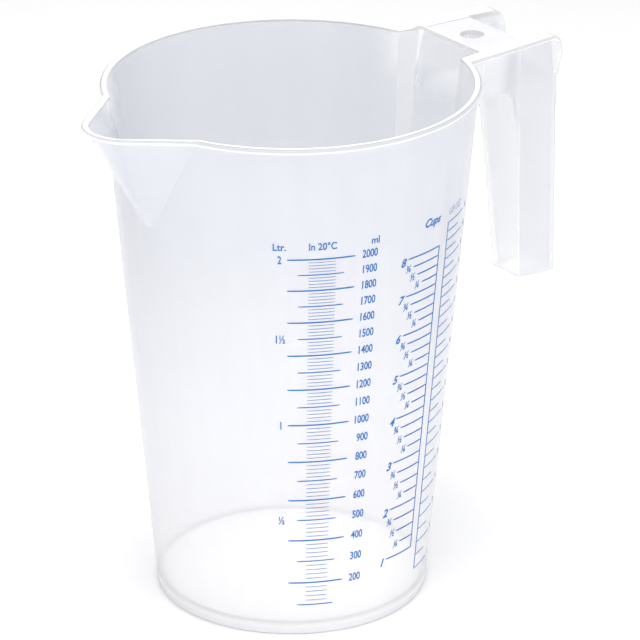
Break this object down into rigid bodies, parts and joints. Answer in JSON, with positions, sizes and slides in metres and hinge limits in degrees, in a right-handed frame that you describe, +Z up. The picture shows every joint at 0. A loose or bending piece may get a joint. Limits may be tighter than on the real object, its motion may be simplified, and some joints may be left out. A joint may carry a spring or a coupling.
{
  "type": "measuring jug",
  "caption": "Tapered translucent plastic measuring jug with a pouring lip, a hollow open-ended handle and printed millilitre, cup and ounce scales.",
  "frame": {"origin": "middle of the footprint of the whole jug, on the surface it stands on", "axes": "+Z up the vessel's axis, +X from the pouring lip towards the handle, the printed scales on the -Y side; the vessel's axis stands at X = -0.0171"},
  "size_m": [0.23, 0.1524, 0.2185],
  "materials": {
    "natural_polypropylene": "uncoloured polypropylene, milky and translucent, satin",
    "blue_ink": "printed ink film, matt"
  },
  "bodies": {
    "root": {"jug_vessel": "natural_polypropylene", "jug_handle": "natural_polypropylene", "ml_mark_0100": "blue_ink", "ml_mark_0200": "blue_ink", "ml_mark_0300": "blue_ink", "ml_mark_0400": "blue_ink", "ml_mark_0500": "blue_ink", "ml_mark_0600": "blue_ink", "ml_mark_0700": "blue_ink", "ml_mark_0800": "blue_ink", "ml_mark_0900": "blue_ink", "ml_mark_1000": "blue_ink", "ml_mark_1100": "blue_ink", "ml_mark_1200": "blue_ink", "ml_mark_1300": "blue_ink", "ml_mark_1400": "blue_ink", "ml_mark_1500": "blue_ink", "ml_mark_1600": "blue_ink", "ml_mark_1700": "blue_ink", "ml_mark_1800": "blue_ink", "ml_mark_1900": "blue_ink", "ml_mark_2000": "blue_ink", "litre_numeral_1": "blue_ink", "litre_numeral_2": "blue_ink", "cup_numeral_1": "blue_ink", "cup_numeral_2": "blue_ink", "cup_numeral_3": "blue_ink", "cup_numeral_4": "blue_ink", "cup_numeral_5": "blue_ink", "cup_numeral_6": "blue_ink", "cup_numeral_7": "blue_ink", "cup_numeral_8": "blue_ink", "cup_scale": "blue_ink", "ounce_scale": "blue_ink"}
  },
  "joints": []
}
